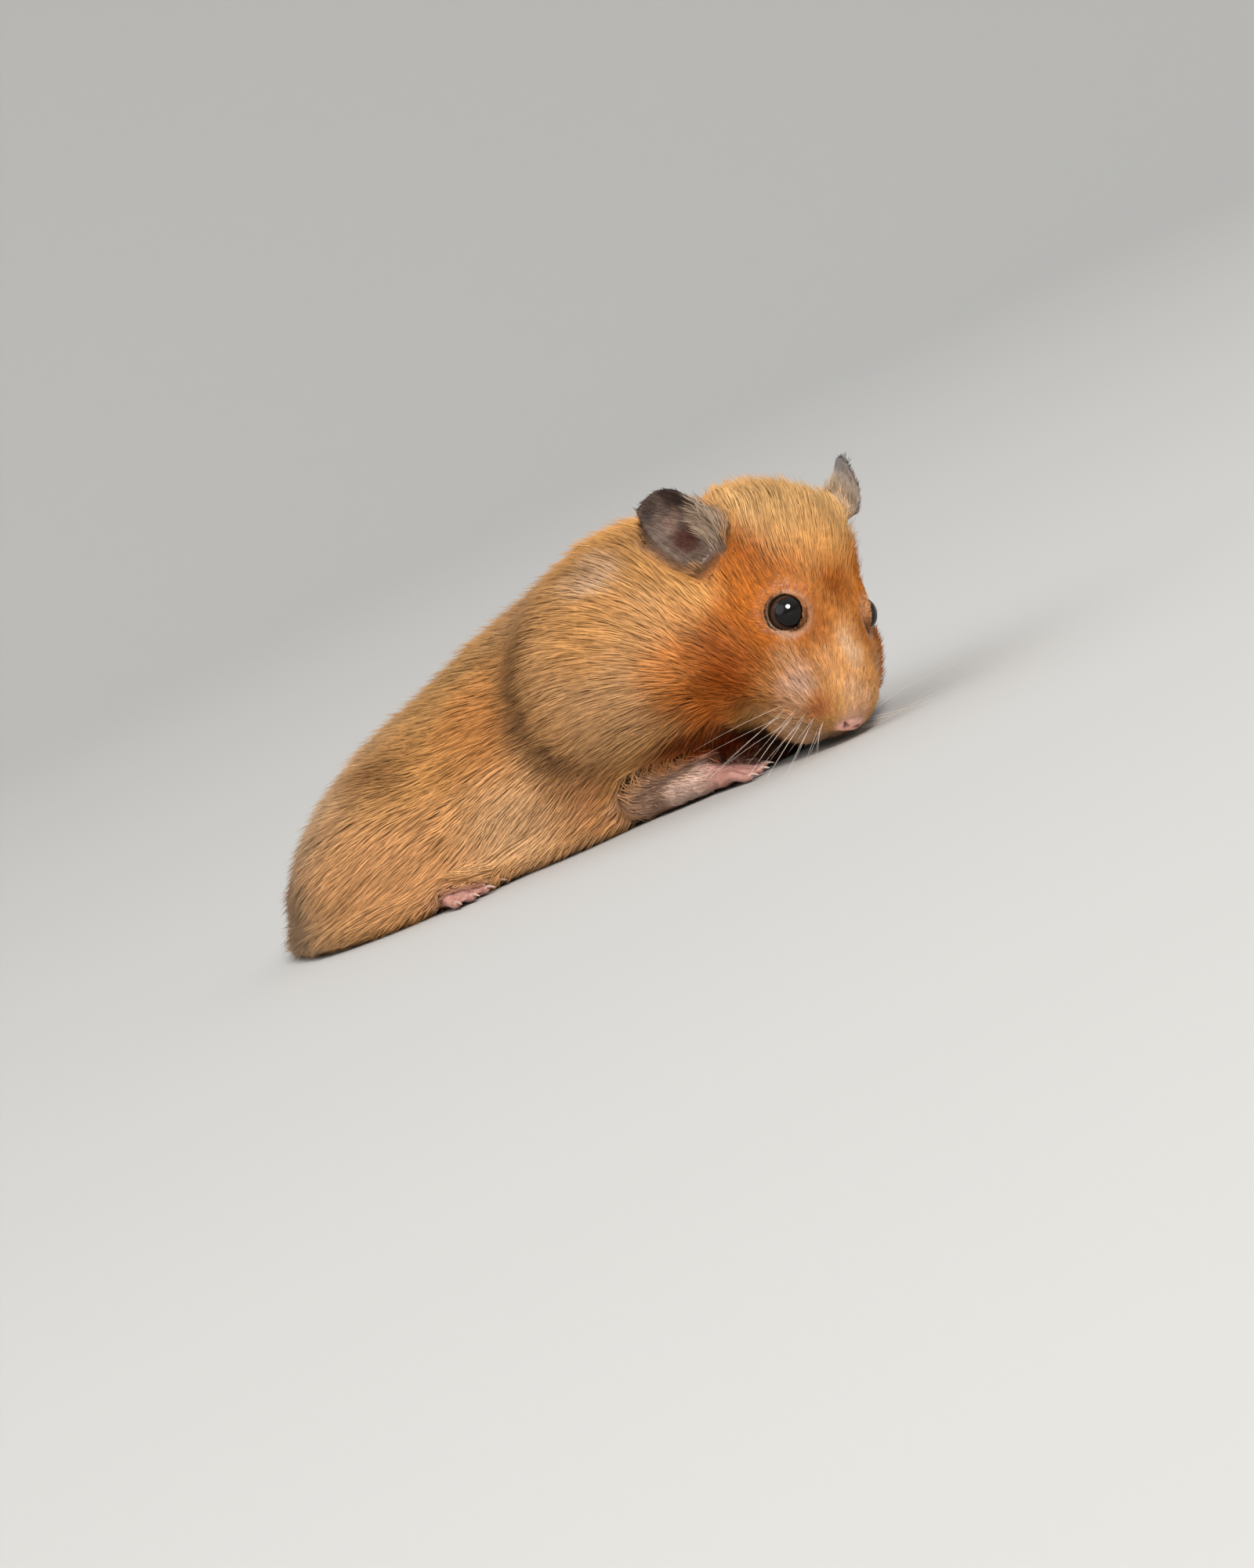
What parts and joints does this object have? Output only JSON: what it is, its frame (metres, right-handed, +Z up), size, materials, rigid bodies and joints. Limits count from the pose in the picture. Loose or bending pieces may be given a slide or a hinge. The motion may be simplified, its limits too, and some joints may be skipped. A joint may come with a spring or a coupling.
{
  "type": "syrian hamster",
  "caption": "Still, life-size Syrian hamster crouching on its belly, head lowered and turned aside, cheek pouches full.",
  "frame": {"origin": "middle of the underside of the bounding box, on the floor", "axes": "+X along the trunk towards the head, +Y the animal's left, +Z up"},
  "size_m": [0.1268, 0.0658, 0.048],
  "materials": {
    "coat": "soft golden-orange fur, greyer on the rump and at the back of the pouches",
    "ear": "thin dark grey-brown skin with fine short hairs, pink deep inside",
    "bare_skin": "soft pink skin with sparse white hairs",
    "eye": "wet, nearly black, with a dark brown rim",
    "claw": "pale horn"
  },
  "bodies": {
    "root": {"cheek_pouch_left": "coat", "cheek_pouch_right": "coat", "claw_forepaw_left_1": "claw", "claw_forepaw_left_2": "claw", "claw_forepaw_left_3": "claw", "claw_forepaw_left_4": "claw", "claw_forepaw_right_1": "claw", "claw_forepaw_right_2": "claw", "claw_forepaw_right_3": "claw", "claw_forepaw_right_4": "claw", "claw_hindfoot_left_1": "claw", "claw_hindfoot_left_2": "claw", "claw_hindfoot_left_3": "claw", "claw_hindfoot_left_4": "claw", "claw_hindfoot_left_5": "claw", "claw_hindfoot_right_1": "claw", "claw_hindfoot_right_2": "claw", "claw_hindfoot_right_3": "claw", "claw_hindfoot_right_4": "claw", "claw_hindfoot_right_5": "claw", "ear_left": "ear", "ear_right": "ear", "eye_left": "eye", "eye_right": "eye", "foreleg_left": "coat", "foreleg_right": "coat", "forepaw_left": "bare_skin", "forepaw_right": "bare_skin", "head": "coat", "hindfoot_left": "bare_skin", "hindfoot_right": "bare_skin", "hindleg_left": "coat", "hindleg_right": "coat", "neck": "coat", "tail": "bare_skin", "trunk": "coat"}
  },
  "joints": []
}
